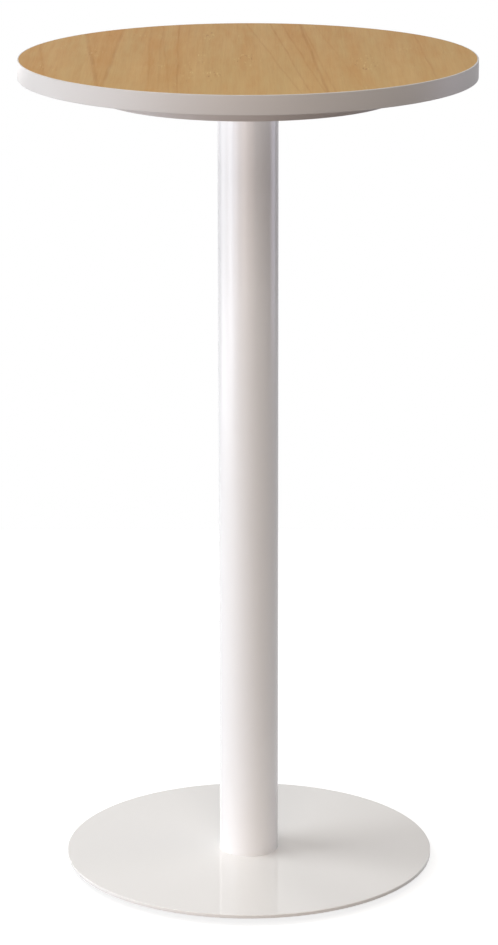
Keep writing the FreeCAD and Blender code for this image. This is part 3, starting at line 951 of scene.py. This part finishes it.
# Outline of the foot from the middle of its sole to the middle of its pocket: each corner's radius, level and
# rounding, in mm.
FOOT_CORNERS = (
    (0, 0, 0), (4, 0, 0), (4.4, 0.4, 0.1), (5, 0.4, 0.1), (5.4, 0, 0),
    (8.6, 0, 0), (9, 0.4, 0.1), (9.6, 0.4, 0.1), (10, 0, 0), (13, 0, 0.5),
    (15, 1.5, 0.6), (15, 3, 0.6), (12, 4.5, 0.6), (7.05, 4.5, 0.2), (7.05, 3, 0.1),
    (8.05, 3, 0.1), (8.05, 1.5, 0.1), (0, 1.5, 0),
)


class TABLE_OT_studs(bpy.types.Operator):
    """Set the threaded studs under the base"""

    bl_idname = "table.studs"
    bl_label = "Studs"

    def execute(self, context):
        glide = context.scene.table_glides
        node = "glide_studs"
        low, high = levels_of(node)
        stud, collar, under = glide.stud / 2, glide.collar / 2, high - glide.collar_height
        weld = rounded_outline(
            [(stud, under), (collar, under), (collar, high), (0, high)],
            [0, COLLAR_ROUNDING * glide.collar_height, 0, 0],
        )
        grid = turned(
            rows([(0, low), (stud - END_CHAMFER, low)], GLIDE_STEPS),
            thread(stud, THREAD_DEPTH * glide.pitch, glide.pitch, low + END_CHAMFER, under, GLIDE_STEPS),
            rows(weld, GLIDE_STEPS),
        )
        piece = put_mesh("welded_studs", set_round(shell(grid), glide.circle, GLIDES))
        mount(piece, node, "zinc_plate")
        return {"FINISHED"}


def glide_nut(glide, low, high):
    """Levelling nut: bore, flange, neck and a six-sided head.

    The head's radius is the hexagon's or that of a 30 degree cone from the nearer face, whichever is less.
    """
    bore, flange, neck, flats = glide.bore / 2, glide.nut_flange / 2, glide.neck / 2, glide.nut / 2
    mouth = bore + BORE_CHAMFER
    shoulder, head = low + glide.nut_flange_height, high - glide.nut_head
    level = np.linspace(head, high, NUT_ROWS)[:, None]
    cone = NUT_FACE * flats + np.minimum(level - head, high - level) / math.tan(NUT_CONE)
    sides = np.minimum(flats * six_sided(GLIDE_STEPS), cone)
    return turned(
        rows([(bore, low + BORE_CHAMFER), (mouth, low), (flange, low), (flange, shoulder)], GLIDE_STEPS),
        rows([(neck, shoulder), (neck, head)], GLIDE_STEPS),
        (sides, np.broadcast_to(level, sides.shape)),
        rows([(mouth, high), (bore, high - BORE_CHAMFER)], GLIDE_STEPS),
    )


class TABLE_OT_nuts(bpy.types.Operator):
    """Turn a levelling nut onto each stud"""

    bl_idname = "table.nuts"
    bl_label = "Levelling nuts"

    def execute(self, context):
        glide = context.scene.table_glides
        grid = glide_nut(glide, *levels_of("levelling_nut_1"))
        nuts = set_round(shell(grid, ring=True), glide.circle, GLIDES)
        for index, nut in enumerate(nuts, start=1):
            piece = put_mesh(f"glide_nut_{index}", [nut])
            mount(piece, f"levelling_nut_{index}", "zinc_plate", f"nut_{index}")
        return {"FINISHED"}


class TABLE_OT_feet(bpy.types.Operator):
    """Put a nylon foot under each levelling nut"""

    bl_idname = "table.feet"
    bl_label = "Nylon feet"

    def execute(self, context):
        corners = np.array(FOOT_CORNERS) * MM
        outline = rounded_outline(corners[:, :2], corners[:, 2], steps=4)
        grid = lifted(turned(rows(outline, GLIDE_STEPS)), levels_of("glide_foot_1")[0])
        feet = set_round(shell(grid), context.scene.table_glides.circle, GLIDES)
        for index, foot in enumerate(feet, start=1):
            piece = put_mesh(f"nylon_foot_{index}", [foot])
            mount(piece, f"glide_foot_{index}", "nylon", f"foot_{index}")
        return {"FINISHED"}


# --- Studio ------------------------------------------------------------------------------------------

# Soft lamps: name, degrees from the front towards the right, distance from the column, height, height of the
# point on the column that it faces, its width and height, and the watts of red, green and blue; in metres.
LAMPS = (
    ("left_low", -90, 2.0, 0.55, 0.55, (2.4, 1.0), (15.6, 16.2, 17.0)),
    ("left_front_low", -60, 2.6, 0.65, 0.65, (1.8, 1.2), (11.6, 12.2, 13.5)),
    ("front_left_low", -30, 3.4, 0.75, 0.75, (2.8, 1.4), (20.2, 17.4, 16.0)),
    ("front_low", 0, 3.6, 0.75, 0.75, (2.8, 1.4), (14.2, 9.9, 7.2)),
    ("right_back_low", 110, 3.0, 0.65, 0.65, (1.4, 1.2), (6.6, 6.3, 8.0)),
    ("front_high", 0, 3.6, 3.6, 0.6, (2.4, 1.6), (46.0, 43.5, 40.3)),
    ("left_back", -150, 3.2, 1.6, 0.6, (1.4, 2.4), (25.9, 24.9, 24.3)),
    ("left_high", -90, 2.2, 4.0, 0.3, (1.8, 1.8), (65.5, 65.5, 64.5)),
    ("right_high", 90, 2.2, 4.0, 0.3, (1.8, 1.8), (20.0, 18.9, 17.3)),
    ("overhead", 0, 0.0, 3.4, 0.5, (5.0, 5.0), (33.5, 32.4, 30.5)),
)
FLOOR_PAINT = 0.4       # share of the lamps' light that the floor sends back
FLOOR_GLOW = 0.8        # brightness that it has by itself, where 1 is white
SENSOR_WIDTH = 36.0     # of the camera, in mm
VIEW_DEPTH = 100.0      # how far the camera sees, in metres


def area_light(name, azimuth, distance, height, aim, size, watts):
    """Soft rectangular lamp at an angle round the column, facing the column's axis at the aim's height."""
    light = bpy.data.lights.new(name, "AREA")
    light.shape = "RECTANGLE"
    light.size, light.size_y = size
    light.energy = max(watts)
    light.color = np.divide(watts, light.energy)
    lamp = bpy.data.objects.new(name, light)
    angle = math.radians(azimuth)
    lamp.location = (distance * math.sin(angle), -distance * math.cos(angle), height)
    lamp.rotation_euler = (math.atan2(distance, height - aim), 0.0, angle)
    lamp.visible_camera = False
    bpy.context.scene.collection.objects.link(lamp)


class TABLE_OT_studio(bpy.types.Operator):
    """Set the floor, the surroundings, the lamps and the camera"""

    bl_idname = "table.studio"
    bl_label = "Studio"

    def execute(self, context):
        studio = context.scene.table_studio
        self.floor(studio)
        self.surroundings(studio)
        for *lamp, watts in LAMPS:
            area_light(*lamp, np.multiply(watts, studio.brightness))
        self.camera(studio)
        context.scene.view_settings.view_transform = "Standard"
        return {"FINISHED"}

    def floor(self, studio):
        """White floor that still takes the table's shadow, and that can be looked through from below."""
        reach = studio.floor_reach
        corners = np.array([[-reach, -reach, 0], [reach, -reach, 0], [reach, reach, 0], [-reach, reach, 0]])
        piece = put_mesh("floor", [(corners, np.array([[0, 1, 2, 3]]), np.empty((0, 3), dtype=int))])
        shader = new_finish("floor")
        paint = shader.node("ShaderNodeBsdfDiffuse", inputs={"Color": rgba(WHITE, FLOOR_PAINT)})
        white = shader.seen(studio.mirrored)
        glow = shader.node("ShaderNodeEmission", inputs={"Color": white, "Strength": FLOOR_GLOW})
        both = shader.node("ShaderNodeAddShader", inputs={0: paint, 1: glow})
        from_below = shader.node("ShaderNodeNewGeometry", output="Backfacing")
        clear = shader.node("ShaderNodeBsdfTransparent")
        one_sided = shader.node("ShaderNodeMixShader", inputs={0: from_below, 1: both, 2: clear})
        shader.node("ShaderNodeOutputMaterial", inputs={"Surface": one_sided})
        wear(piece, "floor")

    def surroundings(self, studio):
        """Pure white all round where it is seen, and no light of its own."""
        world = bpy.data.worlds.new("surroundings")
        world.use_nodes = True
        bpy.context.scene.world = world
        shader = Shader(world.node_tree)
        background = shader.node("ShaderNodeBackground", inputs={"Color": shader.seen(studio.mirrored)})
        shader.node("ShaderNodeOutputWorld", inputs={"Surface": background})

    def camera(self, studio):
        """Camera in front of the table, looking along +Y and tilted down, with a trace of roll."""
        lens = bpy.data.cameras.new("camera")
        lens.sensor_width = SENSOR_WIDTH
        lens.lens = studio.focal
        lens.clip_end = VIEW_DEPTH
        camera = bpy.data.objects.new("camera", lens)
        camera.location = (studio.side, -studio.distance, studio.height)
        camera.rotation_euler = (math.pi / 2 - studio.tilt, studio.roll, 0.0)
        bpy.context.scene.collection.objects.link(camera)
        bpy.context.scene.camera = camera


# --- Add-on ------------------------------------------------------------------------------------------


class TABLE_PT_sidebar(bpy.types.Panel):
    """The table's pieces in the 3D view's sidebar"""

    bl_idname = "TABLE_PT_sidebar"
    bl_label = "Standing Meeting Table"
    bl_space_type = "VIEW_3D"
    bl_region_type = "UI"
    bl_category = "Table"

    def draw(self, context):
        for operator in OPERATORS:
            self.layout.operator(operator.bl_idname)
        for name, group in SETTINGS.items():
            for field in group.__annotations__:
                self.layout.prop(getattr(context.scene, name), field)


SETTINGS = {
    "table_top": TableTopSettings,
    "table_metal": MetalworkSettings,
    "table_flange_screws": FlangeScrewSettings,
    "table_disc_screws": DiscScrewSettings,
    "table_base_bolts": BaseBoltSettings,
    "table_glides": GlideSettings,
    "table_studio": StudioSettings,
}
OPERATORS = (
    TABLE_OT_finishes,
    TABLE_OT_decor_sheet,
    TABLE_OT_edge_bands,
    TABLE_OT_boards,
    TABLE_OT_column,
    TABLE_OT_welds,
    TABLE_OT_base,
    TABLE_OT_screws,
    TABLE_OT_studs,
    TABLE_OT_nuts,
    TABLE_OT_feet,
    TABLE_OT_studio,
)


def register():
    for name, group in SETTINGS.items():
        bpy.utils.register_class(group)
        setattr(bpy.types.Scene, name, PointerProperty(type=group))
    for operator in OPERATORS:
        bpy.utils.register_class(operator)
    bpy.utils.register_class(TABLE_PT_sidebar)


def unregister():
    bpy.utils.unregister_class(TABLE_PT_sidebar)
    for operator in reversed(OPERATORS):
        bpy.utils.unregister_class(operator)
    for name, group in reversed(SETTINGS.items()):
        delattr(bpy.types.Scene, name)
        bpy.utils.unregister_class(group)


def main():
    """Build the table and its studio."""
    register()
    bpy.ops.table.finishes()
    bpy.ops.table.decor_sheet()
    bpy.ops.table.edge_bands()
    bpy.ops.table.boards()
    bpy.ops.table.column()
    bpy.ops.table.welds()
    bpy.ops.table.base()
    bpy.ops.table.screws()
    bpy.ops.table.studs()
    bpy.ops.table.nuts()
    bpy.ops.table.feet()
    bpy.ops.table.studio()


if __name__ == "__main__":
    main()
